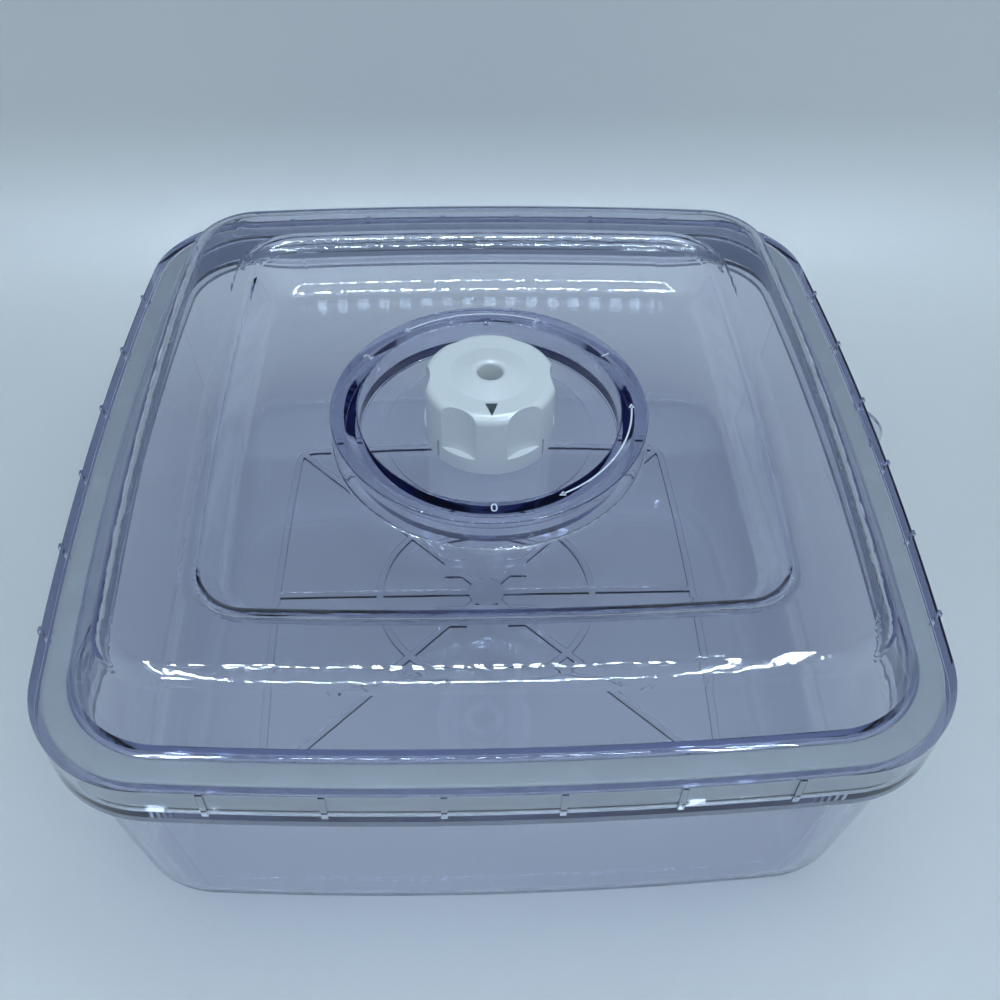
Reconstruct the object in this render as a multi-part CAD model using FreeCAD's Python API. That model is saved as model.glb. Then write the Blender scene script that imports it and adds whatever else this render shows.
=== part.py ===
import FreeCAD, Part
import math
import os

# Sizes are in millimetres and angles in degrees. The table is z = 0 and the knob turns about the Z axis.
# A half is the distance from that axis to the middle of a side, and corner is a corner radius.

# Outline that the pan, the seal and the lid share: a rounded square with bowed sides
rim_half = 122.5
rim_corner = 34.0
side_radius = 1150.0

# Pan
pan_height = 75.3
pan_wall = 3.0
pan_floor = 3.2
pan_rim_thick = 5.3
pan_rim_overhang = 3.1
pan_taper = 6.2
pan_foot_corner = 29.5
pan_foot_round = 9.0
pan_inner_round = 7.0
floor_rib_high = 1.2
floor_rib_wide = 2.4
floor_frame_half = 77.5
floor_frame_corner = 7.0
floor_circle_radius = 39.0
floor_disc_radius = 6.5
floor_pad_side = 8.0
floor_pad_radius = 16.0
floor_diagonal_count = 4
tab_radius = 12.0
tab_reach = 10.0
tab_offset = 15.0
tab_thick = 3.0

# Lid edge and seal
lid_gap = 0.3
skirt_high = 10.4
skirt_wall = 2.6
flange_thick = 2.6
flange_wide = 9.6
skirt_rib_count = 6
skirt_rib_pitch = 28.8
skirt_rib_wide = 1.6
skirt_rib_proud = 0.8
lip_drop = 3.0
seal_side_gap = 0.1
seal_gap = 0.2

# Lid ridge and sunken panel
lid_wall = 2.8
foot_corner = 27.0
foot_round = 1.5
crest_high = 18.2
crest_corner = 21.0
crest_round = 7.0
outer_slope = 60.0
panel_share = 0.6475
panel_corner = 12.0
panel_high = 1.7
panel_round = 8.0
pocket_corner = 15.0
inner_slope = 65.0

# Dial ring and well
ring_radius = 48.4
ring_rise = 10.6
ring_wide = 8.4
ring_inner_wall = 1.2
ring_outer_wall = 3.2
ring_peak_wall = 4.6
ring_top_thick = 1.3
ring_round = 0.5
ring_foot_round = 0.8
ring_peak_round = 0.2
well_foot_round = 0.4
well_drop = 10.7
well_floor = 2.6
well_step_wide = 7.7
well_step_high = 0.4
mark_wide = 1.4
mark_proud = 0.9

# Knob outside
knob_gap = 0.3
knob_radius = 20.0
knob_high = 22.3
knob_round = 2.8
knob_top_thick = 3.0
knob_skirt_wall = 2.2
knob_skirt_high = 5.6
knob_body_wall = 2.4
flute_count = 6
flute_radius = 13.0
flute_depth = 2.2
cone_radius = 12.0
cone_lip_radius = 5.6
cone_rise = 1.4
cone_foot_round = 2.0
port_radius = 3.8
port_round = 1.2
slot_angles = (38.0, 142.0, 218.0, 322.0)
slot_wide = 1.0
slot_high = 7.0

# Knob snap, stops and hub, with the lid parts that they run in
run_gap = 0.3
collar_radius = 16.3
collar_wall = 2.3
collar_bead = 0.9
bead_low = 3.1
bead_high = 1.5
hook_span = 40.0
hook_reach = 1.4
hook_high = 1.8
hub_radius = 8.2
hub_bore = 6.0
hub_shoulder = 12.9
boss_wall = 2.7
boss_high = 17.6
stop_high = 3.0
stop_tooth_span = 20.0
stop_play = 1.0
turn_range = 240.0

# Knob ring seal
o_ring_section = 1.8
o_ring_high = 15.2
o_ring_run_gap = 0.05
groove_side_gap = 0.2

# Valve
valve_hole_radius = 2.6
valve_seal_radius = 5.0
valve_seal_thick = 1.6
valve_stud_radius = 1.2
valve_stud_gap = 0.02
poppet_head_radius = 5.2
poppet_head_thick = 2.3
poppet_stem_radius = 2.4
poppet_stem_high = 5.5
lug_wide = 2.8
lug_thick = 1.6
lug_reach = 1.2
cam_lift = 3.0
window_gap = 0.4
window_end_angle = 3.0
entry_span = 28.0
key_top_gap = 0.7

# Spring
wire_radius = 0.35
coil_radius = 4.8
coil_turns = 4.5
coil_seat_gap = 0.1
coil_arcs_per_turn = 4
measure_points_per_turn = 72

# Cuts reach past their piece by this much.
overrun = 1.0

# Heights that follow from the sizes above
skirt_bottom = pan_height + lid_gap
flange_top = skirt_bottom + skirt_high
flange_bottom = flange_top - flange_thick
crest_top = flange_top + crest_high
panel_top = flange_top + panel_high
ring_top = panel_top + ring_rise
ring_bore = ring_radius - ring_wide
well_step_radius = ring_bore - well_step_wide
well_low = ring_top - well_drop
seat_top = well_low + well_step_high
knob_low = seat_top + knob_gap
knob_top = knob_low + knob_high
cavity_top = knob_top - knob_top_thick
shoulder = knob_low + hub_shoulder
boss_bore = hub_radius + run_gap
boss_radius = boss_bore + boss_wall
foot_half = rim_half - flange_wide
panel_half = foot_half * panel_share
knob_skirt_bore = knob_radius - knob_skirt_wall
knob_body_bore = knob_radius - flute_depth - knob_body_wall
disc_top = seat_top + valve_seal_thick
head_top = disc_top + poppet_head_thick
lug_low = head_top - lug_thick
ramp_low = lug_low - run_gap
window_top = head_top + cam_lift + window_gap
lug_half_angle = math.degrees(math.atan2(lug_wide / 2, hub_bore)) + window_end_angle

axis_up = FreeCAD.Vector(0, 0, 1)
centre = FreeCAD.Vector(0, 0, 0)


def at(x, y, z):
    return FreeCAD.Vector(x, y, z)


def outline(half, corner, z):
    """Closed wire of the rounded square: a side arc and a corner arc, four times."""
    reach = side_radius - half
    span = side_radius - corner
    mid = (math.sqrt(2 * span ** 2 - reach ** 2) - reach) / 2
    join_x = (mid + reach) * side_radius / span - reach
    join_y = mid * side_radius / span
    tip = mid + corner / math.sqrt(2)
    edges = []
    for quarter in range(4):
        side = Part.Arc(at(join_x, -join_y, z), at(half, 0, z), at(join_x, join_y, z)).toShape()
        bend = Part.Arc(at(join_x, join_y, z), at(tip, tip, z), at(join_y, join_x, z)).toShape()
        for edge in (side, bend):
            edge.rotate(centre, axis_up, quarter * 90)
            edges.append(edge)
    return Part.Wire(edges)


def prism(half, corner, low, high):
    """Straight block of the rounded square."""
    return Part.Face(outline(half, corner, low)).extrude(at(0, 0, high - low))


def tapered(half_low, corner_low, low, half_high, corner_high, high):
    """Block of the rounded square with sloping sides."""
    wires = [outline(half_low, corner_low, low), outline(half_high, corner_high, high)]
    return Part.makeLoft(wires, True, True)


def turned(points):
    """Solid turned about the Z axis from a closed outline of radius and height."""
    corners = [at(radius, 0, z) for radius, z in points]
    return Part.Face(Part.makePolygon(corners + corners[:1])).revolve(centre, axis_up, 360)


def rod(radius, low, high):
    return Part.makeCylinder(radius, high - low, at(0, 0, low))


def tube(radius, bore, low, high):
    return rod(radius, low, high).cut(rod(bore, low - overrun, high + overrun))


def sector(radius, bore, low, high, start, span):
    """Part of a tube from the start angle, counter-clockwise from above."""
    outer = Part.makeCylinder(radius, high - low, at(0, 0, low), axis_up, span)
    inner = Part.makeCylinder(bore, high - low, at(0, 0, low), axis_up, 360)
    piece = outer.cut(inner)
    piece.rotate(centre, axis_up, start)
    return piece


def bar(length, wide, low, high):
    """Upright bar that starts at the axis and runs along +X."""
    return Part.makeBox(length, wide, high - low, at(0, -wide / 2, low))


def spun(shape, angle):
    copy = shape.copy()
    copy.rotate(centre, axis_up, angle)
    return copy


def edges_at(shape, z, least=0.0, most=math.inf):
    """Edges that lie level at this height, at these distances from the axis."""
    found = []
    for edge in shape.Edges:
        box = edge.BoundBox
        reach = math.hypot(edge.CenterOfMass.x, edge.CenterOfMass.y)
        far = max(abs(box.XMin), abs(box.XMax), abs(box.YMin), abs(box.YMax), reach)
        level = abs(box.ZMin - z) < wire_radius / 10 and abs(box.ZMax - z) < wire_radius / 10
        if level and least <= far <= most:
            found.append(edge)
    return found


def make_base_pan():
    wall_half = rim_half - pan_rim_overhang
    wall_corner = rim_corner - pan_rim_overhang
    pan_foot_half = wall_half - pan_taper
    shell = tapered(pan_foot_half, pan_foot_corner, 0, wall_half, wall_corner, pan_height)
    shell = shell.makeFillet(pan_foot_round, edges_at(shell, 0))
    shell = shell.fuse(prism(rim_half, rim_corner, pan_height - pan_rim_thick, pan_height))
    tab = rod(tab_radius, pan_height - pan_rim_thick, pan_height - pan_rim_thick + tab_thick)
    tab.translate(at(rim_half + tab_reach - tab_radius, tab_offset, 0))
    shell = shell.fuse(tab)
    floor_share = pan_floor / pan_height
    floor_half = pan_foot_half + (wall_half - pan_foot_half) * floor_share - pan_wall
    floor_corner = pan_foot_corner + (wall_corner - pan_foot_corner) * floor_share - pan_wall
    mouth_half = wall_half - pan_wall
    mouth_corner = wall_corner - pan_wall
    inside = tapered(floor_half, floor_corner, pan_floor, mouth_half, mouth_corner, pan_height)
    inside = inside.makeFillet(pan_inner_round, edges_at(inside, pan_floor))
    shell = shell.cut(inside).removeSplitter()
    return shell.fuse(make_floor_ribs()).removeSplitter()


def make_floor_ribs():
    """Raised pattern on the pan's floor: a frame, a circle, spokes, a disc and four pads."""
    low = pan_floor - floor_rib_high
    high = pan_floor + floor_rib_high
    inner_half = floor_frame_half - floor_rib_wide
    frame = prism(floor_frame_half, floor_frame_corner, low, high)
    inside = prism(inner_half, floor_frame_corner - floor_rib_wide, low - overrun, high + overrun)
    pieces = [frame.cut(inside)]
    half_wide = floor_rib_wide / 2
    pieces.append(tube(floor_circle_radius + half_wide, floor_circle_radius - half_wide, low, high))
    pieces.append(rod(floor_disc_radius, low, high))
    for spoke in range(floor_diagonal_count):
        turn = spoke * 360 / floor_diagonal_count
        pieces.append(spun(bar(inner_half + half_wide, floor_rib_wide, low, high), turn))
        half_turn = turn + 180 / floor_diagonal_count
        slant = bar(inner_half * math.sqrt(2), floor_rib_wide, low, high).common(spun(inside, -half_turn))
        pieces.append(spun(slant, half_turn))
        pad = Part.makeBox(floor_pad_side, floor_pad_side, high - low,
                           at(-floor_pad_side / 2, -floor_pad_side / 2, low))
        pad.rotate(centre, axis_up, -half_turn)
        pad.translate(at(floor_pad_radius, 0, 0))
        pieces.append(spun(pad, half_turn))
    return pieces[0].multiFuse(pieces[1:]).removeSplitter()


def ridged(inset, low):
    """The lid's ridge and sunken panel, with every face moved into the material by the inset."""
    outer_run = 1 / math.tan(math.radians(outer_slope))
    outer_step = inset / math.sin(math.radians(outer_slope))
    inner_run = 1 / math.tan(math.radians(inner_slope))
    inner_step = inset / math.sin(math.radians(inner_slope))
    top = crest_top - inset
    floor = panel_top - inset
    low_half = foot_half - outer_step
    top_half = foot_half + (flange_top - top) * outer_run - outer_step
    body = tapered(low_half, foot_corner - inset, flange_top, top_half, crest_corner - inset, top)
    body = body.fuse(prism(low_half, foot_corner - inset, low, flange_top))
    floor_half = panel_half + (floor - panel_top) * inner_run + inner_step
    mouth_half = panel_half + (top - panel_top) * inner_run + inner_step
    pocket = tapered(floor_half, panel_corner + inset, floor, mouth_half, pocket_corner + inset, top)
    body = body.cut(pocket)
    body = body.makeFillet(crest_round - inset, edges_at(body, top))
    return body.makeFillet(panel_round + inset, edges_at(body, floor))


def make_lid_edge():
    """Flat edge, ribbed skirt and the lip inside the seal, still filled inside the lip."""
    edge = prism(rim_half, rim_corner, skirt_bottom, flange_top)
    channel = prism(rim_half - skirt_wall, rim_corner - skirt_wall, skirt_bottom - overrun, flange_bottom)
    lip = prism(foot_half, foot_corner, skirt_bottom - lip_drop, flange_bottom)
    edge = edge.cut(channel).fuse(lip)
    first = -(skirt_rib_count - 1) / 2
    for side in range(4):
        for rib in range(skirt_rib_count):
            offset = (first + rib) * skirt_rib_pitch
            sag = side_radius - math.sqrt(side_radius ** 2 - offset ** 2)
            block = Part.makeBox(skirt_wall + skirt_rib_proud, skirt_rib_wide, skirt_high,
                                 at(rim_half - sag - skirt_wall, offset - skirt_rib_wide / 2, skirt_bottom))
            edge = edge.fuse(spun(block, side * 90))
    return edge


def make_dial_ring():
    """Ring and well as one turned cup, with a tapered groove below between the ring's two walls."""
    under = seat_top - well_step_high - well_floor
    peak = ring_top - ring_top_thick
    groove = [(ring_bore + ring_inner_wall, under), (ring_bore + ring_peak_wall, peak)]
    groove.append((ring_radius - ring_outer_wall, under))
    ring_side = [(ring_radius, under), (ring_radius, ring_top), (ring_bore, ring_top)]
    well_side = [(ring_bore, well_low), (well_step_radius, well_low), (well_step_radius, seat_top)]
    cup = turned([(0, under)] + groove + ring_side + well_side + [(0, seat_top)])
    cup = cup.makeFillet(ring_round, edges_at(cup, ring_top))
    cup = cup.makeFillet(ring_peak_round, edges_at(cup, peak))
    cup = cup.makeFillet(well_foot_round, edges_at(cup, well_low, well_step_radius + well_foot_round))
    mark = bar(mark_proud + ring_inner_wall / 2, mark_wide, well_low, ring_top - ring_round)
    mark.translate(at(ring_bore - mark_proud, 0, 0))
    return cup.fuse(spun(mark, 90))


def make_boss():
    """Boss, snap collar and stop on the well's floor."""
    low = seat_top - well_floor
    boss = rod(boss_radius, low, seat_top + boss_high)
    boss = boss.cut(rod(boss_bore, seat_top, seat_top + boss_high + overrun))
    collar_top = seat_top + bead_low + bead_high
    collar = tube(collar_radius, collar_radius - collar_wall, low, collar_top)
    bead = tube(collar_radius + collar_bead, collar_radius - collar_wall, seat_top + bead_low, collar_top)
    stop_span = 360 - turn_range - stop_tooth_span - 2 * stop_play
    stop = sector(collar_radius - collar_wall / 2, boss_radius - boss_wall / 2, low, seat_top + stop_high,
                  stop_tooth_span / 2 + turn_range + stop_play, stop_span)
    key_radius = hub_radius + lug_reach + run_gap
    keyway = bar(key_radius, lug_wide + 2 * run_gap, seat_top, head_top + cam_lift + key_top_gap)
    return boss.fuse([collar, bead, stop]).cut(keyway)


def make_lid():
    shell = make_lid_edge().fuse(ridged(0, flange_bottom)).removeSplitter()
    shell = shell.makeFillet(foot_round, edges_at(shell, flange_top, 0, foot_half + foot_round))
    under = seat_top - well_step_high - well_floor
    hollow = ridged(lid_wall, skirt_bottom - lip_drop - overrun)
    shell = shell.cut(hollow)
    shell = shell.cut(rod(ring_radius, under - overrun, ring_top))
    lid = shell.fuse([make_dial_ring(), make_boss()])
    lid = lid.cut(rod(valve_hole_radius, under - overrun, seat_top + overrun)).removeSplitter()
    foot = [edge for edge in edges_at(lid, panel_top, 0, ring_radius + overrun / 2) if edge.Closed]
    return lid.makeFillet(ring_foot_round, foot)


def make_lid_seal():
    low = pan_height + seal_gap
    outer_half = rim_half - skirt_wall - seal_side_gap
    outer_corner = rim_corner - skirt_wall - seal_side_gap
    band = prism(outer_half, outer_corner, low, flange_bottom)
    inner_half = foot_half + seal_side_gap
    inner_corner = foot_corner + seal_side_gap
    return band.cut(prism(inner_half, inner_corner, low - overrun, flange_bottom + overrun))


def make_knob():
    body = make_knob_cap()
    ledge = knob_low + knob_skirt_high
    flute = rod(flute_radius, ledge, knob_top + overrun)
    flute.translate(at(knob_radius - flute_depth + flute_radius, 0, 0))
    for turn in range(flute_count):
        body = body.cut(spun(flute, turn * 360 / flute_count))
    body = body.cut(rod(knob_skirt_bore, knob_low - overrun, ledge))
    body = body.cut(rod(knob_body_bore, knob_low, cavity_top))
    slot = bar(knob_radius + overrun, slot_wide, knob_low - overrun, knob_low + slot_high)
    slot = slot.cut(rod(knob_body_bore - knob_body_wall, knob_low - overrun, knob_low + slot_high))
    for angle in slot_angles:
        body = body.cut(spun(slot, angle))
    hook_low = seat_top + bead_low - run_gap - hook_high
    for side in (0, 180):
        hook = sector(knob_skirt_bore + knob_skirt_wall / 2, knob_skirt_bore - hook_reach, hook_low,
                      hook_low + hook_high, side - hook_span / 2, hook_span)
        body = body.fuse(hook)
    tooth = sector(collar_radius - collar_wall - run_gap, boss_radius + run_gap, knob_low,
                   cavity_top + knob_top_thick / 2, -stop_tooth_span / 2, stop_tooth_span)
    return body.fuse([tooth, make_hub()])


def make_knob_cap():
    """The knob's outside as a turned block with the hose hole, its edges rounded."""
    crown = knob_top + cone_rise
    side = [(port_radius, knob_low), (knob_radius, knob_low), (knob_radius, knob_top)]
    cap = turned(side + [(cone_radius, knob_top), (cone_lip_radius, crown), (port_radius, crown)])
    cap = cap.makeFillet(knob_round, edges_at(cap, knob_top, knob_radius - knob_round))
    cap = cap.makeFillet(cone_foot_round, edges_at(cap, knob_top, 0, cone_radius + cone_rise))
    return cap.makeFillet(port_round, edges_at(cap, crown, 0, (port_radius + cone_lip_radius) / 2))


def make_hub():
    """Tube under the knob's top with the ramp window for the plunger's lug and the ring seal's groove."""
    top = cavity_top + knob_top_thick / 2
    hub = tube(hub_radius, port_radius, knob_low, top).cut(rod(hub_bore, knob_low - overrun, shoulder))
    middle = knob_low + o_ring_high
    groove_half = o_ring_section / 2 + groove_side_gap
    groove_radius = boss_bore - o_ring_run_gap - o_ring_section
    hub = hub.cut(tube(hub_radius + overrun, groove_radius, middle - groove_half, middle + groove_half))
    window = sector(hub_radius + overrun, hub_bore - overrun, ramp_low, window_top,
                    -turn_range - lug_half_angle, turn_range + 2 * lug_half_angle)
    entry = sector(hub_radius + overrun, hub_bore - overrun, knob_low - overrun, window_top,
                   lug_half_angle, entry_span)
    return hub.cut(window.cut(make_ramp()).fuse(entry))


def make_ramp():
    """Slab whose top is a ramp that climbs clockwise from above, swept along a helix and mirrored."""
    lead = cam_lift * 360 / turn_range
    margin = 2 * lug_half_angle
    start = ramp_low - lead * lug_half_angle / 360
    path = Part.makeHelix(lead, lead * (turn_range + margin) / 360, hub_bore)
    near = hub_bore - 2 * overrun
    far = hub_radius + 2 * overrun
    drop = cam_lift + lead
    corners = [at(near, 0, 0), at(far, 0, 0), at(far, 0, -drop), at(near, 0, -drop)]
    section = Part.makePolygon(corners + corners[:1])
    sweep = Part.BRepOffsetAPI.MakePipeShell(Part.Wire(path))
    sweep.setFrenetMode(True)
    sweep.add(section)
    sweep.build()
    sweep.makeSolid()
    slab = sweep.shape().mirror(centre, at(0, 1, 0))
    slab.rotate(centre, axis_up, lug_half_angle)
    slab.translate(at(0, 0, start))
    return slab


def make_knob_o_ring():
    section = o_ring_section / 2
    middle = boss_bore - o_ring_run_gap - section
    return Part.makeTorus(middle, section, at(0, 0, knob_low + o_ring_high))


def make_valve_poppet():
    head = rod(poppet_head_radius, disc_top, head_top)
    stem = rod(poppet_stem_radius, disc_top, head_top + poppet_stem_high)
    stud = rod(valve_stud_radius, seat_top + valve_seal_thick / 2, head_top)
    lug = bar(hub_radius + lug_reach, lug_wide, lug_low, head_top)
    return head.fuse([stem, stud, lug]).removeSplitter()


def make_valve_seal():
    disc = rod(valve_seal_radius, seat_top + seal_gap, disc_top)
    hole_low = seat_top + valve_seal_thick / 2
    return disc.cut(rod(valve_stud_radius + valve_stud_gap, hole_low, disc_top + overrun))


def helix_point(angle, low, rise):
    return at(coil_radius * math.cos(angle), coil_radius * math.sin(angle), low + rise * angle)


def helix_heading(angle, rise):
    heading = at(-coil_radius * math.sin(angle), coil_radius * math.cos(angle), rise)
    return heading.normalize()


def biarc(start, start_heading, end, end_heading):
    """Two arcs that meet smoothly and leave and arrive along the headings."""
    chord = end - start
    both = start_heading + end_heading
    square = both.dot(both) - 4
    half = -chord.dot(both)
    reach = (-half - math.sqrt(half ** 2 - square * chord.dot(chord))) / square
    near = start + start_heading * reach
    far = end - end_heading * reach
    middle = (near + far) * 0.5
    arcs = []
    for first, bend, last in ((start, near, middle), (middle, far, end)):
        flat = (last - first).normalize()
        weight = (bend - first).normalize().dot(flat)
        top = (first + bend * (2 * weight) + last) * (1 / (2 + 2 * weight))
        arcs.append(Part.Arc(first, top, last).toShape())
    return arcs


def make_valve_spring():
    low = head_top + wire_radius + coil_seat_gap
    high = shoulder - wire_radius - coil_seat_gap
    rise = (high - low) / (coil_turns * 2 * math.pi)
    step = 2 * math.pi / coil_arcs_per_turn
    edges = []
    for count in range(int(coil_turns * coil_arcs_per_turn)):
        a = count * step
        b = a + step
        start = helix_point(a, low, rise)
        end = helix_point(b, low, rise)
        edges += biarc(start, helix_heading(a, rise), end, helix_heading(b, rise))
    ring = Part.Circle(helix_point(0, low, rise), helix_heading(0, rise), wire_radius).toShape()
    sweep = Part.BRepOffsetAPI.MakePipeShell(Part.Wire(edges))
    sweep.add(Part.Wire([ring]))
    sweep.build()
    sweep.makeSolid()
    print("spring's least gap to itself, mm:", round(spring_gap(low, rise), 2))
    return sweep.shape()


def spring_gap(low, rise):
    """Least distance between the spring's turns, measured on points of its middle line."""
    step = 2 * math.pi / measure_points_per_turn
    total = int(coil_turns * measure_points_per_turn)
    points = [helix_point(count * step, low, rise) for count in range(total)]
    apart = measure_points_per_turn // 2
    pairs = [(a, b) for a in range(total) for b in range(a + apart, total)]
    return min((points[b] - points[a]).Length for a, b in pairs) - 2 * wire_radius


makers = {
    "base_pan": make_base_pan,
    "lid": make_lid,
    "lid_seal": make_lid_seal,
    "knob": make_knob,
    "knob_o_ring": make_knob_o_ring,
    "valve_poppet": make_valve_poppet,
    "valve_seal": make_valve_seal,
    "valve_spring": make_valve_spring,
}

os.makedirs("parts", exist_ok=True)
for name, maker in makers.items():
    solid, = maker().Solids
    print(name, "valid", solid.isValid(), "volume in cm3", round(solid.Volume / 1000, 2))
    solid.exportStep("parts/" + name + ".step")
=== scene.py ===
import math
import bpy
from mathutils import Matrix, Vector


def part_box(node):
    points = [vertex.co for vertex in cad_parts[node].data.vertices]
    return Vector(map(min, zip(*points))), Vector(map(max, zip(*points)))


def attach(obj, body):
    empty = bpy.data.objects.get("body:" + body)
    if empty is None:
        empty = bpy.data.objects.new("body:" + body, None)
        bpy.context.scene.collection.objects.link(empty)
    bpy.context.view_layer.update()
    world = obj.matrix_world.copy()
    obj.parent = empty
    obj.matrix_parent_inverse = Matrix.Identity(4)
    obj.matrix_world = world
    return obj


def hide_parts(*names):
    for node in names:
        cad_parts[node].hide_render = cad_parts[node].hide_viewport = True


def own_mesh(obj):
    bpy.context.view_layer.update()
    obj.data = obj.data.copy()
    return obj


bl_info = {
    "name": "Canister Dresser",
    "version": (1, 0, 0),
    "blender": (4, 5, 0),
    "location": "View3D > Sidebar > Canister",
    "description": "Dresses the packed canister with clear shells, gasket, knob, valve, dial print and stage",
    "category": "Object",
}

import bmesh
import bpy
from bpy.props import FloatProperty, FloatVectorProperty, IntProperty, PointerProperty
from bpy.types import Operator, Panel, PropertyGroup
from mathutils import Matrix, Vector

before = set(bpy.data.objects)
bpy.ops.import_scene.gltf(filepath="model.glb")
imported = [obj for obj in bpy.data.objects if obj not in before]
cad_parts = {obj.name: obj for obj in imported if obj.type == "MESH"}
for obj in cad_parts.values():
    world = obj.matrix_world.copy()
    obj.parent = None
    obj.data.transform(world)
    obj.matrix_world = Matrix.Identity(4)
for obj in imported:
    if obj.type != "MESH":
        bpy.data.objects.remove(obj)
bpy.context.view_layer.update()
MM = 0.001
PRINT_GAP = 0.02 * MM


# Sizes and colours that a user would change


def length(label, about, value, **more):
    return FloatProperty(name=label, description=about, default=value, unit="LENGTH", precision=5, **more)


def colour(label, about, value):
    return FloatVectorProperty(
        name=label, description=about, default=value, subtype="COLOR", size=3, min=0.0, max=1.0
    )


def number(label, about, value, **more):
    return FloatProperty(name=label, description=about, default=value, precision=4, **more)


class CanisterShells(PropertyGroup):
    lid_tint: colour("Lid tint", "Colour that light keeps inside the lid", (0.56, 0.59, 0.78))
    lid_depth: number("Lid depth", "How strongly the lid soaks up light, per metre", 88.0)
    pan_tint: colour("Pan tint", "Colour that light keeps inside the pan", (0.76, 0.77, 0.86))
    pan_depth: number("Pan depth", "How strongly the pan soaks up light, per metre", 145.0)
    light_loss: colour("Light loss", "Share of lamp light that gets through one face", (0.975, 0.975, 0.98))
    index: number("Index", "Refractive index of the clear plastic", 1.58)
    polish: number("Polish", "Roughness of the clean moulded faces", 0.008)
    wear: number("Wear", "Extra roughness of handled faces", 0.015)


class CanisterGasket(PropertyGroup):
    lip_round: length("Lip round", "Radius of the gasket's soft edges", 0.9 * MM)
    lip_segments: IntProperty(name="Lip segments", description="Faces across a soft edge", default=4)
    tone: colour("Tone", "Colour of the soft grey gasket", (0.54, 0.56, 0.55))
    tone_dark: colour("Dark tone", "Colour of the gasket's darker clouds", (0.49, 0.51, 0.50))


class CanisterKnob(PropertyGroup):
    tone: colour("Tone", "Colour of the white knob", (0.86, 0.87, 0.87))
    tone_dark: colour("Dark tone", "Colour of the knob's faint clouds", (0.82, 0.83, 0.84))
    gloss: number("Gloss", "Roughness of the knob's polished faces", 0.16)
    pointer_base: length("Pointer base", "Distance from the axis to the pointer's base", 13.1 * MM)
    pointer_tip: length("Pointer tip", "Distance from the axis to the pointer's tip", 18.3 * MM)
    pointer_wide: length("Pointer width", "Width of the pointer's base", 3.7 * MM)
    pointer_tone: colour("Pointer tone", "Colour of the pointer's paint", (0.018, 0.034, 0.036))
    paint_thick: length("Paint thickness", "Thickness of printed paint", 0.05 * MM)


class CanisterValve(PropertyGroup):
    wire: length("Wire radius", "Radius of the spring's wire", 0.35 * MM)
    coil: length("Coil radius", "Radius of the spring's middle line", 4.8 * MM)
    turns: number("Turns", "Turns of the spring", 4.5)
    squeeze: number("Squeeze", "Share of its length that the spring keeps when the valve is up", 0.68)
    rubber: colour("Rubber", "Colour of the black rubber", (0.022, 0.022, 0.024))
    steel: colour("Steel", "Colour of the spring's wire", (0.56, 0.57, 0.58))
    white: colour("Plunger", "Colour of the plunger's plastic", (0.78, 0.79, 0.79))


class CanisterDial(PropertyGroup):
    line_wide: length("Line width", "Width of the printed arrow lines", 0.5 * MM)
    arrow_wide: length("Arrow width", "Width of an arrow head", 1.9 * MM)
    arrow_long: length("Arrow length", "Length of an arrow head", 1.8 * MM)
    mark_wide: length("Mark width", "Width of a position mark", 2.4 * MM)
    mark_long: length("Mark length", "Length of a position mark", 2.2 * MM)
    mark_drop: length("Mark drop", "Depth of a position mark's middle below the ring's top", 2.4 * MM)
    print_radius: length("Print radius", "Radius of the arrow lines and of the numbers' middle", 43.4 * MM)
    print_shift: length("Print shift", "How far the print lies off the ring's middle, to the back", 1.2 * MM)
    number_high: length("Number height", "Height of the printed numbers", 3.0 * MM)
    ink: colour("Ink", "Colour of the dial's print", (0.86, 0.88, 0.92))


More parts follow.
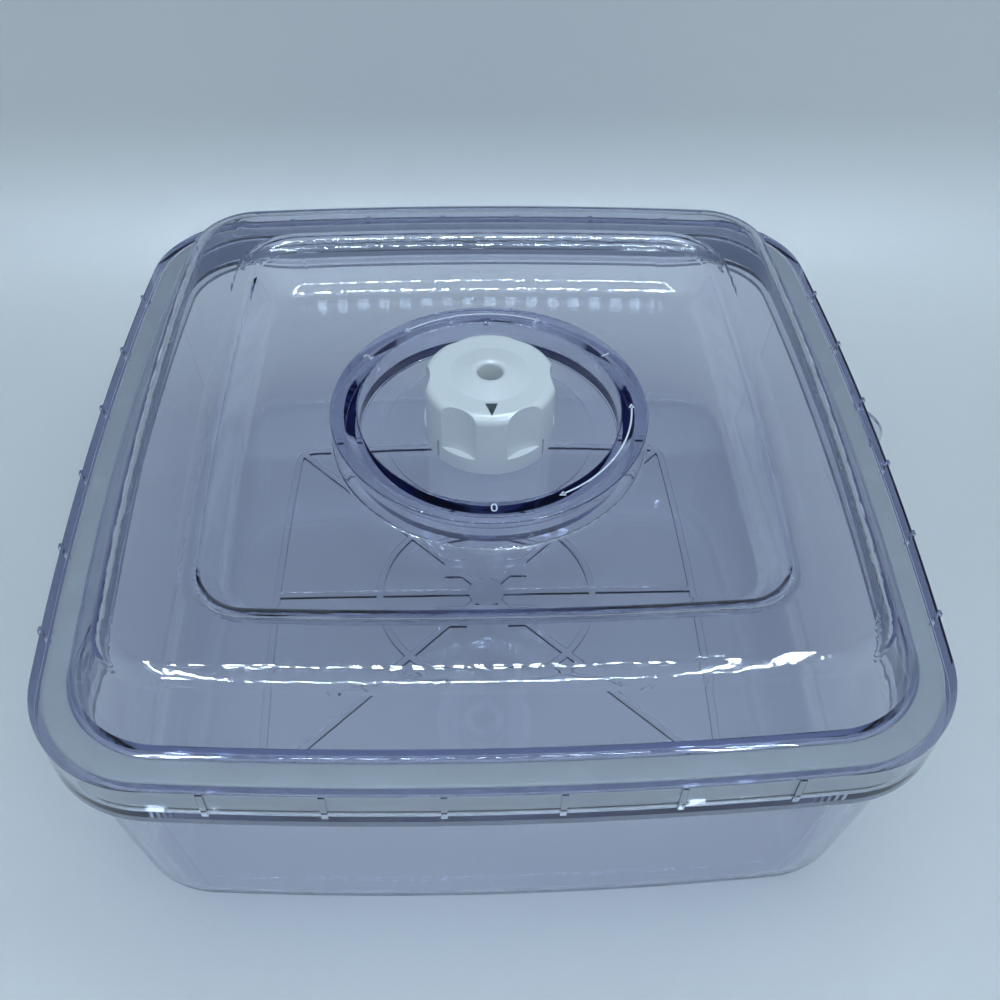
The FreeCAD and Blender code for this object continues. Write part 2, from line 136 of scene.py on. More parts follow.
class CanisterStage(PropertyGroup):
    floor: colour("Floor", "Colour of the floor and backdrop", (0.74, 0.73, 0.72))
    light: colour("Light", "Colour of the soft light", (0.67, 0.85, 1.0))
    floor_half: length("Floor half", "Half the floor's width and its reach to the front", 3.0)
    floor_drop: length("Floor drop", "Gap between the floor and the canister's underside", 0.2 * MM)
    wall_place: length("Wall place", "Distance from the canister's middle to the wall behind it", 0.24)
    wall_high: length("Wall height", "Height of the wall behind the canister", 0.17)
    wall_round: length("Wall round", "Radius between the floor and the wall", 0.07)
    air_front: number("Front air", "Strength of the soft light from the front", 0.52)
    air_back: number("Back air", "Strength of the soft light from behind", 0.06)
    softbox_power: number("Softbox power", "Power of the overhead softbox, in watts", 5.0)
    softbox_place: FloatVectorProperty(
        name="Softbox place", description="Middle of the overhead softbox", default=(0.12, -0.10, 0.95),
        size=3, unit="LENGTH", precision=5,
    )
    softbox_aim: FloatVectorProperty(
        name="Softbox aim", description="Where the softbox points", default=(0.0, 0.0, 0.05),
        size=3, unit="LENGTH", precision=5,
    )
    softbox_wide: length("Softbox width", "Width of the softbox", 0.9)
    softbox_deep: length("Softbox depth", "Depth of the softbox, front to back", 0.8)
    strip_power: number("Strip power", "Glow of the lamp frame's small lamps", 160.0)
    strip_high: length("Frame height", "Height of the lamp frame above the floor", 0.60)
    strip_wide: length("Frame width", "Width of the lamp frame", 0.52)
    strip_deep: length("Frame depth", "Depth of the lamp frame, front to back", 0.56)
    strip_bar: length("Frame bar", "Width of one row of small lamps", 0.014)
    strip_gap: length("Corner gap", "How far the rows across stop short of the frame's corners", 0.04)
    strip_step: length("Row step", "Distance from the frame's outer row of lamps to its inner row", 0.045)
    strip_pitch: length("Lamp pitch", "Distance from one small lamp to the next", 0.0145)
    strip_lit: number("Lit share", "Share of the pitch that a small lamp takes up", 0.5)
    strip_place: FloatVectorProperty(
        name="Frame place", description="Middle of the lamp frame, seen from above", default=(-0.02, -0.19),
        size=2, unit="LENGTH", precision=5,
    )
    bounces: IntProperty(name="Bounces", description="How often light may bend in clear plastic", default=48)
    camera_place: FloatVectorProperty(
        name="Camera place", description="Where the camera stands", default=(-0.0103, -0.24253, 0.31923),
        size=3, unit="LENGTH", precision=5,
    )
    camera_pitch: number("Camera pitch", "Angle below level, in radians", 0.8268)
    camera_yaw: number("Camera yaw", "Angle to the right, in radians", 0.0591)
    camera_roll: number("Camera roll", "Lean of the picture, in radians", 0.0294)
    lens: number("Lens", "Focal length on a 36 mm sensor, in millimetres", 38.644)


GROUPS = {
    "canister_shells": CanisterShells,
    "canister_gasket": CanisterGasket,
    "canister_knob": CanisterKnob,
    "canister_valve": CanisterValve,
    "canister_dial": CanisterDial,
    "canister_stage": CanisterStage,
}


# Modelling by hand, in steps that the operators share


def start_clean():
    if bpy.context.object and bpy.context.object.mode != "OBJECT":
        bpy.ops.object.mode_set(mode="OBJECT")
    bpy.ops.object.select_all(action="DESELECT")


def take(obj):
    start_clean()
    obj.select_set(True)
    bpy.context.view_layer.objects.active = obj
    return obj


def added(name):
    """The object that the last operator added, under its piece's name."""
    obj = bpy.context.object
    obj.name = name
    obj.data.name = name
    return obj


def settle(obj):
    """Puts the object's place, turn and size into its mesh."""
    take(obj)
    bpy.ops.object.transform_apply(location=True, rotation=True, scale=True)
    return obj


def apply_modifiers(obj):
    take(obj)
    for name in [modifier.name for modifier in obj.modifiers]:
        bpy.ops.object.modifier_apply(modifier=name)
    return obj


def pick_faces(obj, wanted):
    bpy.ops.object.mode_set(mode="EDIT")
    bpy.ops.mesh.select_mode(type="FACE")
    bpy.ops.mesh.select_all(action="DESELECT")
    mesh = bmesh.from_edit_mesh(obj.data)
    for face in mesh.faces:
        face.select_set(wanted(face))
    mesh.select_flush_mode()
    bmesh.update_edit_mesh(obj.data)


def pick_edges(obj, wanted):
    bpy.ops.object.mode_set(mode="EDIT")
    bpy.ops.mesh.select_mode(type="EDGE")
    bpy.ops.mesh.select_all(action="DESELECT")
    mesh = bmesh.from_edit_mesh(obj.data)
    for edge in mesh.edges:
        edge.select_set(wanted(edge))
    mesh.select_flush_mode()
    bmesh.update_edit_mesh(obj.data)


def leave_edit():
    bpy.ops.object.mode_set(mode="OBJECT")


def face_outwards(obj):
    take(obj)
    bpy.ops.object.mode_set(mode="EDIT")
    bpy.ops.mesh.select_all(action="SELECT")
    bpy.ops.mesh.remove_doubles(threshold=1e-7)
    bpy.ops.mesh.normals_make_consistent(inside=False)
    leave_edit()


def smooth(obj, angle=35.0):
    take(obj)
    bpy.ops.object.shade_smooth_by_angle(angle=math.radians(angle))
    return obj


def thicken(obj, thick):
    solid = obj.modifiers.new("Paint", "SOLIDIFY")
    solid.thickness = thick
    solid.offset = 1.0
    return apply_modifiers(obj)


def join(name, parts):
    start_clean()
    for part in parts:
        part.select_set(True)
    bpy.context.view_layer.objects.active = parts[0]
    if len(parts) > 1:
        bpy.ops.object.join()
    return added(name)


def wear(obj, material, body, slot):
    obj.data.materials.clear()
    obj.data.materials.append(material)
    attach(obj, body)
    return obj


def dress(node, material):
    """Gives a CAD node a better material and leaves its mesh alone."""
    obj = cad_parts[node]
    obj.data.materials.clear()
    obj.data.materials.append(material)
    return obj


# Materials


def new_material(name):
    material = bpy.data.materials.new(name)
    material.use_nodes = True
    tree = material.node_tree
    tree.nodes.clear()
    return material, tree


def node(tree, kind, place=(0, 0), **settings):
    made = tree.nodes.new(kind)
    made.location = place
    for name, value in settings.items():
        setattr(made, name, value)
    return made


def fine_wear():
    """Shared effect: clouds of handling and fine scuffs, as a roughness mask and a bump height."""
    name = "fine_wear"
    if name in bpy.data.node_groups:
        return bpy.data.node_groups[name]
    group = bpy.data.node_groups.new(name, "ShaderNodeTree")
    sockets = group.interface
    sockets.new_socket("Vector", in_out="INPUT", socket_type="NodeSocketVector")
    scale = sockets.new_socket("Cloud Scale", in_out="INPUT", socket_type="NodeSocketFloat")
    scale.default_value = 40.0
    scuff = sockets.new_socket("Scuff Scale", in_out="INPUT", socket_type="NodeSocketFloat")
    scuff.default_value = 900.0
    clean = sockets.new_socket("Clean", in_out="INPUT", socket_type="NodeSocketFloat")
    clean.default_value = 0.1
    worn = sockets.new_socket("Worn", in_out="INPUT", socket_type="NodeSocketFloat")
    worn.default_value = 0.2
    sockets.new_socket("Clouds", in_out="OUTPUT", socket_type="NodeSocketFloat")
    sockets.new_socket("Roughness", in_out="OUTPUT", socket_type="NodeSocketFloat")
    sockets.new_socket("Height", in_out="OUTPUT", socket_type="NodeSocketFloat")
    enter = node(group, "NodeGroupInput", (-700, 0))
    leave = node(group, "NodeGroupOutput", (500, 0))
    clouds = node(group, "ShaderNodeTexNoise", (-450, 150))
    clouds.inputs["Detail"].default_value = 4.0
    scuffs = node(group, "ShaderNodeTexNoise", (-450, -150))
    scuffs.inputs["Detail"].default_value = 2.0
    sharpen = node(group, "ShaderNodeMapRange", (-200, 150))
    sharpen.inputs["From Min"].default_value = 0.35
    sharpen.inputs["From Max"].default_value = 0.7
    spread = node(group, "ShaderNodeMapRange", (50, 50))
    link = group.links.new
    link(enter.outputs["Vector"], clouds.inputs["Vector"])
    link(enter.outputs["Vector"], scuffs.inputs["Vector"])
    link(enter.outputs["Cloud Scale"], clouds.inputs["Scale"])
    link(enter.outputs["Scuff Scale"], scuffs.inputs["Scale"])
    link(clouds.outputs["Fac"], sharpen.inputs["Value"])
    link(sharpen.outputs["Result"], spread.inputs["Value"])
    link(enter.outputs["Clean"], spread.inputs["To Min"])
    link(enter.outputs["Worn"], spread.inputs["To Max"])
    link(sharpen.outputs["Result"], leave.inputs["Clouds"])
    link(spread.outputs["Result"], leave.inputs["Roughness"])
    link(scuffs.outputs["Fac"], leave.inputs["Height"])
    return group


def worn_surface(tree, shader, clean, worn, bump, cloud_scale=40.0, scuff_scale=900.0):
    """Feeds a shader's roughness and normal from the shared wear, and gives back its node."""
    place = node(tree, "ShaderNodeTexCoord", (-900, 0))
    effect = node(tree, "ShaderNodeGroup", (-650, 0), node_tree=fine_wear())
    effect.inputs["Cloud Scale"].default_value = cloud_scale
    effect.inputs["Scuff Scale"].default_value = scuff_scale
    effect.inputs["Clean"].default_value = clean
    effect.inputs["Worn"].default_value = worn
    relief = node(tree, "ShaderNodeBump", (-350, -200))
    relief.inputs["Strength"].default_value = bump
    relief.inputs["Distance"].default_value = 0.0002
    tree.links.new(place.outputs["Object"], effect.inputs["Vector"])
    tree.links.new(effect.outputs["Roughness"], shader.inputs["Roughness"])
    tree.links.new(effect.outputs["Height"], relief.inputs["Height"])
    tree.links.new(relief.outputs["Normal"], shader.inputs["Normal"])
    return effect


def clear_plastic(name, tint, depth, shells):
    """Clear moulded plastic that tints light by its thickness and lets lamp light through."""
    material, tree = new_material(name)
    out = node(tree, "ShaderNodeOutputMaterial", (600, 0))
    shader = node(tree, "ShaderNodeBsdfPrincipled", (0, 0))
    shader.inputs["Base Color"].default_value = (1.0, 1.0, 1.0, 1.0)
    shader.inputs["IOR"].default_value = shells.index
    shader.inputs["Transmission Weight"].default_value = 1.0
    worn = shells.polish + shells.wear
    worn_surface(tree, shader, shells.polish, worn, bump=0.02, cloud_scale=30.0, scuff_scale=120.0)
    rays = node(tree, "ShaderNodeLightPath", (0, 400))
    lamp = node(tree, "ShaderNodeMath", (200, 400), operation="MAXIMUM")
    through = node(tree, "ShaderNodeBsdfTransparent", (200, 200))
    through.inputs["Color"].default_value = (*shells.light_loss, 1.0)
    mix = node(tree, "ShaderNodeMixShader", (400, 100))
    soak = node(tree, "ShaderNodeVolumeAbsorption", (400, -200))
    soak.inputs["Color"].default_value = (*tint, 1.0)
    soak.inputs["Density"].default_value = depth
    link = tree.links.new
    link(rays.outputs["Is Shadow Ray"], lamp.inputs[0])
    link(rays.outputs["Is Diffuse Ray"], lamp.inputs[1])
    link(lamp.outputs["Value"], mix.inputs["Fac"])
    link(shader.outputs["BSDF"], mix.inputs[1])
    link(through.outputs["BSDF"], mix.inputs[2])
    link(mix.outputs["Shader"], out.inputs["Surface"])
    link(soak.outputs["Volume"], out.inputs["Volume"])
    return material


def solid_plastic(name, tone, tone_dark, clean, worn, bump, cloud_scale=40.0, scuff_scale=900.0, **sockets):
    """Opaque plastic, rubber or paint with faint clouds in its colour and the shared wear."""
    material, tree = new_material(name)
    out = node(tree, "ShaderNodeOutputMaterial", (400, 0))
    shader = node(tree, "ShaderNodeBsdfPrincipled", (0, 0))
    for label, value in sockets.items():
        shader.inputs[label.replace("_", " ")].default_value = value
    effect = worn_surface(tree, shader, clean, worn, bump, cloud_scale, scuff_scale)
    tones = node(tree, "ShaderNodeMix", (-300, 200), data_type="RGBA")
    tones.inputs["A"].default_value = (*tone, 1.0)
    tones.inputs["B"].default_value = (*tone_dark, 1.0)
    tree.links.new(effect.outputs["Clouds"], tones.inputs["Factor"])
    tree.links.new(tones.outputs["Result"], shader.inputs["Base Color"])
    tree.links.new(shader.outputs["BSDF"], out.inputs["Surface"])
    return material


def glow(name, sizes, along):
    """A row of small lamps along one axis."""
    material, tree = new_material(name)
    out = node(tree, "ShaderNodeOutputMaterial", (600, 0))
    shine = node(tree, "ShaderNodeEmission", (400, 0))
    shine.inputs["Color"].default_value = (*sizes.light, 1.0)
    place = node(tree, "ShaderNodeTexCoord", (-600, 0))
    axes = node(tree, "ShaderNodeSeparateXYZ", (-400, 0))
    step = node(tree, "ShaderNodeMath", (-200, 0), operation="DIVIDE")
    step.inputs[1].default_value = sizes.strip_pitch
    share = node(tree, "ShaderNodeMath", (0, 0), operation="FRACT")
    lit = node(tree, "ShaderNodeMath", (200, 0), operation="LESS_THAN")
    lit.inputs[1].default_value = sizes.strip_lit
    power = node(tree, "ShaderNodeMath", (300, -150), operation="MULTIPLY")
    power.inputs[1].default_value = sizes.strip_power
    link = tree.links.new
    link(place.outputs["Object"], axes.inputs["Vector"])
    link(axes.outputs[along], step.inputs[0])
    link(step.outputs["Value"], share.inputs[0])
    link(share.outputs["Value"], lit.inputs[0])
    link(lit.outputs["Value"], power.inputs[0])
    link(power.outputs["Value"], shine.inputs["Strength"])
    link(shine.outputs["Emission"], out.inputs["Surface"])
    return material


# Operators, one for each piece or group of like pieces


class CANISTER_OT_shells(Operator):
    """Gives the pan and the lid their clear tinted plastic"""

    bl_idname = "canister.shells"
    bl_label = "Clear shells"

    def execute(self, context):
        sizes = context.scene.canister_shells
        dress("lid", clear_plastic("clear_lid_plastic", sizes.lid_tint, sizes.lid_depth, sizes))
        dress("base_pan", clear_plastic("clear_pan_plastic", sizes.pan_tint, sizes.pan_depth, sizes))
        return {"FINISHED"}


class CANISTER_OT_gasket(Operator):
    """Models the soft grey gasket with rounded lips over its CAD solid"""

    bl_idname = "canister.gasket"
    bl_label = "Gasket"

    def execute(self, context):
        sizes = context.scene.canister_gasket
        take(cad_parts["lid_seal"])
        bpy.ops.object.duplicate()
        gasket = added("gasket")
        for key in [key for key in gasket.keys() if key.startswith("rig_")]:
            del gasket[key]
        gasket.parent = None
        take(gasket)
        bpy.ops.mesh.customdata_custom_splitnormals_clear()
        face_outwards(gasket)
        take(gasket)
        sharp = math.radians(60)
        pick_edges(gasket, lambda edge: len(edge.link_faces) == 2 and edge.calc_face_angle() > sharp)
        bpy.ops.mesh.bevel(offset=sizes.lip_round, segments=sizes.lip_segments, profile=0.5)
        leave_edit()
        smooth(gasket, 50.0)
        skin = solid_plastic(
            "grey_silicone", sizes.tone, sizes.tone_dark, clean=0.38, worn=0.55, bump=0.2,
            cloud_scale=25.0, scuff_scale=1500.0,
        )
        wear(gasket, skin, "lid", "seal_grey")
        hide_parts("lid_seal")
        return {"FINISHED"}


class CANISTER_OT_knob(Operator):
    """Polishes the white knob and prints its pointer"""

    bl_idname = "canister.knob"
    bl_label = "Knob"

    def execute(self, context):
        sizes = context.scene.canister_knob
        white = solid_plastic(
            "polished_white", sizes.tone, sizes.tone_dark, clean=sizes.gloss, worn=sizes.gloss + 0.1,
            bump=0.03, cloud_scale=60.0, scuff_scale=2500.0,
        )
        dress("knob", white)
        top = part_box("knob")[1].z
        start_clean()
        bpy.ops.mesh.primitive_plane_add(size=1.0, location=(0.0, 0.0, top + 2 * MM))
        pointer = added("knob_pointer")
        bpy.ops.object.mode_set(mode="EDIT")
        bpy.ops.mesh.subdivide(number_cuts=11)
        leave_edit()
        for point in pointer.data.vertices:
            share = point.co.y + 0.5
            half = sizes.pointer_wide * (1 - share) * point.co.x
            point.co.x = half
            point.co.y = -(sizes.pointer_base + (sizes.pointer_tip - sizes.pointer_base) * share)
        settle(pointer)
        face_outwards(pointer)
        take(pointer)
        pick_faces(pointer, lambda face: face.normal.z < 0)
        bpy.ops.mesh.flip_normals()
        leave_edit()
        drop = pointer.modifiers.new("Lay on the knob", "SHRINKWRAP")
        drop.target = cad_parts["knob"]
        drop.wrap_method = "PROJECT"
        drop.use_project_z = True
        drop.use_negative_direction = True
        drop.use_positive_direction = False
        drop.offset = PRINT_GAP
        apply_modifiers(pointer)
        thicken(pointer, sizes.paint_thick)
        paint = solid_plastic(
            "pointer_paint", sizes.pointer_tone, sizes.pointer_tone, clean=0.4, worn=0.5, bump=0.05
        )
        wear(pointer, paint, "knob", "rubber_dark")
        return {"FINISHED"}


class CANISTER_OT_valve(Operator):
    """Models the spring, the ring seal and the valve's disc, and dresses the plunger"""

    bl_idname = "canister.valve"
    bl_label = "Valve pieces"

    def execute(self, context):
        sizes = context.scene.canister_valve
        rubber = solid_plastic("black_rubber", sizes.rubber, sizes.rubber, clean=0.45, worn=0.6, bump=0.1)
        self.make_spring(sizes)
        self.make_ring(rubber)
        self.make_disc(rubber)
        plunger = solid_plastic("plunger_plastic", sizes.white, sizes.white, clean=0.4, worn=0.5, bump=0.05)
        dress("valve_poppet", plunger)
        return {"FINISHED"}

    def make_spring(self, sizes):
        low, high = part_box("valve_spring")
        start_clean()
        bpy.ops.mesh.primitive_circle_add(vertices=14, radius=sizes.wire, fill_type="NGON")
        spring = added("valve_coil")
        spring.rotation_euler = (math.radians(90), 0.0, 0.0)
        spring.location = (sizes.coil, 0.0, 0.0)
        settle(spring)
        wind = spring.modifiers.new("Wind", "SCREW")
        wind.angle = sizes.turns * 2 * math.pi
        wind.screw_offset = high.z - low.z - 2 * sizes.wire
        wind.steps = wind.render_steps = int(sizes.turns * 36)
        wind.use_normal_calculate = True
        apply_modifiers(spring)
        spring.location = (0.0, 0.0, low.z + sizes.wire)
        settle(spring)
        take(spring)
        pick_edges(spring, lambda edge: len(edge.link_faces) == 1)
        bpy.ops.mesh.fill_holes(sides=0)
        leave_edit()
        face_outwards(spring)
        smooth(spring, 60.0)
        steel = solid_plastic(
            "spring_wire", sizes.steel, sizes.steel, clean=0.22, worn=0.32, bump=0.05, Metallic=1.0
        )
        wear(spring, steel, "lid", "spring_steel")
        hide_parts("valve_spring")
        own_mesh(spring)

    def make_ring(self, rubber):
        low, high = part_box("knob_o_ring")
        section = (high.z - low.z) / 2
        start_clean()
        bpy.ops.mesh.primitive_torus_add(
            major_segments=72, minor_segments=20, major_radius=high.x - section, minor_radius=section,
            location=(0.0, 0.0, (low.z + high.z) / 2),
        )
        ring = settle(added("hub_ring_seal"))
        take(ring)
        pick_edges(
            ring,
            lambda edge: all(abs(v.co.z - (low.z + high.z) / 2) < section / 10 for v in edge.verts)
            and (edge.verts[0].co - edge.verts[1].co).length < section * 1.2,
        )
        bpy.ops.mesh.bevel(offset=section * 0.12, segments=2, profile=0.3)
        leave_edit()
        smooth(ring, 60.0)
        wear(ring, rubber, "knob", "rubber_dark")
        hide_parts("knob_o_ring")

    def make_disc(self, rubber):
        low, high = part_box("valve_seal")
        start_clean()
        bpy.ops.mesh.primitive_cylinder_add(
            vertices=64, radius=high.x, depth=high.z - low.z, location=(0.0, 0.0, (low.z + high.z) / 2)
        )
        disc = settle(added("valve_disc"))
        take(disc)
        pick_faces(disc, lambda face: face.normal.z > 0.9)
        bpy.ops.mesh.inset(thickness=high.x - 1.22 * MM)
        bpy.ops.mesh.extrude_region_move(TRANSFORM_OT_translate={"value": (0, 0, -(high.z - low.z) * 0.5)})
        pick_edges(
            disc,
            lambda edge: len(edge.link_faces) == 2
            and edge.calc_face_angle() > math.radians(60)
            and all(math.hypot(v.co.x, v.co.y) > high.x * 0.9 for v in edge.verts),
        )
        bpy.ops.mesh.bevel(offset=0.25 * MM, segments=3, profile=0.5)
        leave_edit()
        smooth(disc, 40.0)
        wear(disc, rubber, "valve", "rubber_dark")
        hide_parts("valve_seal")


class CANISTER_OT_dial(Operator):
    """Prints the dial's marks, numbers and arrows on the ring"""

    bl_idname = "canister.dial"
    bl_label = "Dial print"

    marks = (-90.0, 30.0, 150.0)
    arrows = ((-63.7, -3.2), (66.3, 126.6))

    def execute(self, context):
        sizes = context.scene.canister_dial
        thick = context.scene.canister_knob.paint_thick
        top = self.meet_lid((sizes.print_radius, 0.0, 0.2), (0.0, 0.0, -1.0)).z
        bore = self.meet_lid((0.035, 0.0, top - sizes.mark_drop), (1.0, 0.0, 0.0)).x
        ink = solid_plastic("dial_ink", sizes.ink, sizes.ink, clean=0.45, worn=0.6, bump=0.05)
        for count, (start, end) in enumerate(self.arrows):
            parts = [self.make_arc(sizes, start, end)]
            for angle, heading in ((start, 180.0), (end, 0.0)):
                head = (sizes.arrow_wide, sizes.arrow_long, sizes.print_radius, angle, heading)
                parts.append(self.make_head(*head))
            self.print_on(join(f"dial_arrow_{count + 1}", parts), sizes, top, thick, ink)
        for count, angle in enumerate(self.marks):
            self.print_on(self.make_number(sizes, count, angle), sizes, top, thick, ink)
            self.make_mark(sizes, count, angle, bore, top, thick, ink)
        return {"FINISHED"}

    def meet_lid(self, start, way):
        """The lid's surface where a straight line from the start first meets it."""
        hit, place, normal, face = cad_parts["lid"].ray_cast(Vector(start), Vector(way))
        if not hit:
            raise RuntimeError("the lid has no ring under the dial's print")
        return place

    def make_mark(self, sizes, count, angle, bore, top, thick, ink):
        """Triangle that stands on the well's wall and points up to its number."""
        mark = self.make_head(sizes.mark_wide, sizes.mark_long, 0.0, 0.0, 0.0)
        mark.name = mark.data.name = f"dial_mark_{count}"
        mark.rotation_euler = (math.radians(90.0), 0.0, math.radians(angle - 90.0))
        reach = bore - sizes.mark_wide**2 / (8.0 * bore) - 1.5 * PRINT_GAP
        turn = math.radians(angle)
        mark.location = (reach * math.cos(turn), reach * math.sin(turn), top - sizes.mark_drop)
        settle(mark)
        thicken(mark, thick)
        wear(mark, ink, "lid", "knob_white")

    def make_arc(self, sizes, start, end):
        start_clean()
        bpy.ops.mesh.primitive_plane_add(size=1.0)
        arc = added("arc")
        bpy.ops.object.mode_set(mode="EDIT")
        inner = sizes.print_radius - sizes.line_wide / 2
        outer = sizes.print_radius + sizes.line_wide / 2
        bpy.ops.mesh.select_all(action="DESELECT")
        mesh = bmesh.from_edit_mesh(arc.data)
        for point in mesh.verts:
            point.select_set(point.co.y > 0)
        bmesh.update_edit_mesh(arc.data)
        bpy.ops.mesh.delete(type="VERT")
        mesh = bmesh.from_edit_mesh(arc.data)
        turn = math.radians(start)
        for point in mesh.verts:
            reach = inner if point.co.x < 0 else outer
            point.co = (reach * math.cos(turn), reach * math.sin(turn), 0.0)
        bmesh.update_edit_mesh(arc.data)
        bpy.ops.mesh.select_all(action="SELECT")
        bpy.ops.mesh.spin(
            steps=48, angle=math.radians(start - end), center=(0.0, 0.0, 0.0), axis=(0.0, 0.0, 1.0)
        )
        leave_edit()
        return arc

    def make_head(self, wide, long, radius, angle, heading):
        """Triangle whose tip points along the heading from the direction of growing angle."""
        start_clean()
        bpy.ops.mesh.primitive_circle_add(vertices=3, radius=1.0, fill_type="NGON")
        head = added("head")
        for point, (x, y) in zip(head.data.vertices, ((0.0, 0.5), (-0.5, -0.5), (0.5, -0.5))):
            point.co = (x * wide, y * long, 0.0)
        head.rotation_euler = (0.0, 0.0, math.radians(angle + heading))
        head.location = (radius * math.cos(math.radians(angle)), radius * math.sin(math.radians(angle)), 0.0)
        return settle(head)

    def make_number(self, sizes, count, angle):
        start_clean()
        bpy.ops.object.text_add()
        figure = bpy.context.object
        figure.data.body = str(count)
        figure.data.align_x = "CENTER"
        figure.data.align_y = "CENTER"
        figure.data.size = sizes.number_high / 0.7
        bpy.ops.object.convert(target="MESH")
        figure = added(f"dial_number_{count}")
        figure.rotation_euler = (0.0, 0.0, math.radians(angle - 90.0))
        figure.location = (
            sizes.print_radius * math.cos(math.radians(angle)),
            sizes.print_radius * math.sin(math.radians(angle)),
            0.0,
        )
        return settle(figure)

    def print_on(self, shape, sizes, top, thick, ink):
        shape.location += Vector((0.0, sizes.print_shift, top + PRINT_GAP))
        settle(shape)
        face_outwards(shape)
        take(shape)
        pick_faces(shape, lambda face: face.normal.z < 0)
        bpy.ops.mesh.flip_normals()
        leave_edit()
        thicken(shape, thick)
        wear(shape, ink, "lid", "knob_white")


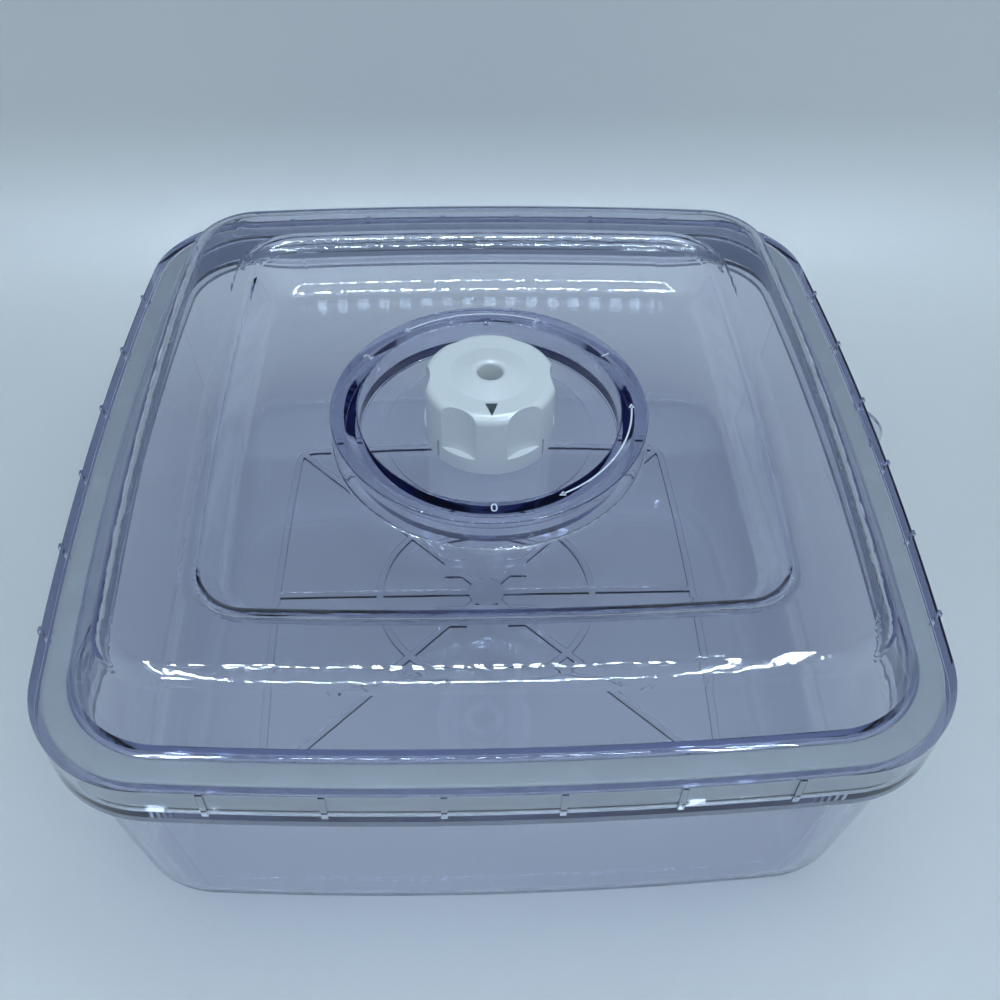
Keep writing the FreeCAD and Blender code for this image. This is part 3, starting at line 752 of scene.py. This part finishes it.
class CANISTER_OT_stage(Operator):
    """Sets the pale floor and backdrop, the soft light and the camera"""

    bl_idname = "canister.stage"
    bl_label = "Stage"

    def execute(self, context):
        sizes = context.scene.canister_stage
        self.make_backdrop(sizes)
        self.make_lamps(sizes)
        self.make_world(context.scene, sizes)
        self.lengthen_paths(context.scene, sizes)
        self.make_camera(context.scene, sizes)
        return {"FINISHED"}

    def make_backdrop(self, sizes):
        start_clean()
        bpy.ops.mesh.primitive_plane_add(size=1.0)
        drop = added("backdrop")
        for point in drop.data.vertices:
            reach = sizes.wall_place if point.co.y > 0 else -sizes.floor_half
            point.co = (point.co.x * 2 * sizes.floor_half, reach, -sizes.floor_drop)
        pick_edges(drop, lambda edge: all(v.co.y > 0 for v in edge.verts))
        bpy.ops.mesh.extrude_region_move(TRANSFORM_OT_translate={"value": (0.0, 0.0, sizes.wall_high)})
        pick_edges(drop, lambda edge: all(v.co.y > 0 and v.co.z < sizes.wall_round for v in edge.verts))
        bpy.ops.mesh.bevel(offset=sizes.wall_round, segments=16, profile=0.5)
        leave_edit()
        smooth(drop, 60.0)
        shade = [value * 0.985 for value in sizes.floor]
        cloth = solid_plastic(
            "pale_floor", sizes.floor, shade, clean=0.5, worn=0.6, bump=0.05,
            cloud_scale=3.0, scuff_scale=60.0,
        )
        drop.data.materials.append(cloth)

    def make_lamps(self, sizes):
        start_clean()
        bpy.ops.object.light_add(type="AREA", location=sizes.softbox_place)
        lamp = added("overhead_softbox")
        lamp.data.shape = "RECTANGLE"
        lamp.data.size = sizes.softbox_wide
        lamp.data.size_y = sizes.softbox_deep
        lamp.data.energy = sizes.softbox_power
        lamp.data.color = sizes.light
        aim = Vector(sizes.softbox_aim) - Vector(sizes.softbox_place)
        lamp.rotation_euler = aim.to_track_quat("-Z", "Y").to_euler()
        lamp.visible_glossy = False
        lamp.visible_transmission = False
        strips = {}
        for row in (0, 1):
            wide = sizes.strip_wide - 2 * row * sizes.strip_step
            deep = sizes.strip_deep - 2 * row * sizes.strip_step
            across = (wide - 2 * sizes.strip_gap, sizes.strip_bar)
            strips[f"lamp_front_{row}"] = ((0.0, -deep / 2), across, 0)
            strips[f"lamp_back_{row}"] = ((0.0, deep / 2), across, 0)
            strips[f"lamp_left_{row}"] = ((-wide / 2, 0.0), (sizes.strip_bar, deep), 1)
            strips[f"lamp_right_{row}"] = ((wide / 2, 0.0), (sizes.strip_bar, deep), 1)
        for name, ((x, y), (long_x, long_y), along) in strips.items():
            start_clean()
            place = Vector((*sizes.strip_place, sizes.strip_high)) + Vector((x, y, 0.0))
            bpy.ops.mesh.primitive_plane_add(size=1.0, location=place)
            strip = added(name)
            strip.scale = (long_x, long_y, 1.0)
            strip.rotation_euler = (math.pi, 0.0, 0.0)
            settle(strip)
            strip.data.materials.append(glow(name + "_glow", sizes, along))
            strip.visible_diffuse = False

    def make_world(self, scene, sizes):
        world = bpy.data.worlds.new("studio_air")
        scene.world = world
        world.use_nodes = True
        tree = world.node_tree
        tree.nodes.clear()
        out = node(tree, "ShaderNodeOutputWorld", (600, 0))
        air = node(tree, "ShaderNodeBackground", (400, 0))
        air.inputs["Color"].default_value = (*sizes.light, 1.0)
        place = node(tree, "ShaderNodeTexCoord", (-400, 0))
        axes = node(tree, "ShaderNodeSeparateXYZ", (-200, 0))
        fade = node(tree, "ShaderNodeMapRange", (100, 0), interpolation_type="SMOOTHSTEP")
        fade.inputs["From Min"].default_value = -0.2
        fade.inputs["From Max"].default_value = 0.6
        fade.inputs["To Min"].default_value = sizes.air_front
        fade.inputs["To Max"].default_value = sizes.air_back
        tree.links.new(place.outputs["Generated"], axes.inputs["Vector"])
        tree.links.new(axes.outputs["Y"], fade.inputs["Value"])
        tree.links.new(fade.outputs["Result"], air.inputs["Strength"])
        tree.links.new(air.outputs["Background"], out.inputs["Surface"])

    def lengthen_paths(self, scene, sizes):
        """Clear plastic guides light round many bends, and a path that is cut short shows as black."""
        scene.cycles.max_bounces = sizes.bounces
        scene.cycles.glossy_bounces = sizes.bounces
        scene.cycles.transmission_bounces = sizes.bounces
        scene.cycles.transparent_max_bounces = sizes.bounces

    def make_camera(self, scene, sizes):
        pitch, yaw, roll = sizes.camera_pitch, sizes.camera_yaw, sizes.camera_roll
        ahead = Vector((math.sin(yaw) * math.cos(pitch), math.cos(yaw) * math.cos(pitch), -math.sin(pitch)))
        right = Vector((math.cos(yaw), -math.sin(yaw), 0.0))
        up = right.cross(ahead)
        lean_right = math.cos(roll) * right + math.sin(roll) * up
        lean_up = -math.sin(roll) * right + math.cos(roll) * up
        start_clean()
        bpy.ops.object.camera_add()
        camera = bpy.context.object
        camera.name = "photo_camera"
        turn = Matrix((lean_right, lean_up, -ahead)).transposed().to_4x4()
        camera.matrix_world = Matrix.Translation(Vector(sizes.camera_place)) @ turn
        camera.data.sensor_width = 36.0
        camera.data.lens = sizes.lens
        camera.data.clip_start = 0.01
        scene.camera = camera


class CANISTER_PT_panel(Panel):
    """Lists the canister's pieces in the sidebar"""

    bl_idname = "CANISTER_PT_panel"
    bl_label = "Canister"
    bl_space_type = "VIEW_3D"
    bl_region_type = "UI"
    bl_category = "Canister"

    def draw(self, context):
        for operator, group in zip(OPERATORS, GROUPS):
            box = self.layout.box()
            box.operator(operator.bl_idname)
            sizes = getattr(context.scene, group)
            for name in sizes.__annotations__:
                box.prop(sizes, name)


OPERATORS = (
    CANISTER_OT_shells,
    CANISTER_OT_gasket,
    CANISTER_OT_knob,
    CANISTER_OT_valve,
    CANISTER_OT_dial,
    CANISTER_OT_stage,
)


def register():
    for kind in (*GROUPS.values(), *OPERATORS, CANISTER_PT_panel):
        bpy.utils.register_class(kind)
    for name, kind in GROUPS.items():
        setattr(bpy.types.Scene, name, PointerProperty(type=kind))


def unregister():
    for name in GROUPS:
        delattr(bpy.types.Scene, name)
    for kind in (CANISTER_PT_panel, *reversed(OPERATORS), *reversed(list(GROUPS.values()))):
        bpy.utils.unregister_class(kind)


def main():
    register()
    bpy.context.scene.view_settings.view_transform = "Standard"
    bpy.ops.canister.shells()
    bpy.ops.canister.gasket()
    bpy.ops.canister.knob()
    bpy.ops.canister.valve()
    bpy.ops.canister.dial()
    bpy.ops.canister.stage()


if __name__ == "__main__":
    main()
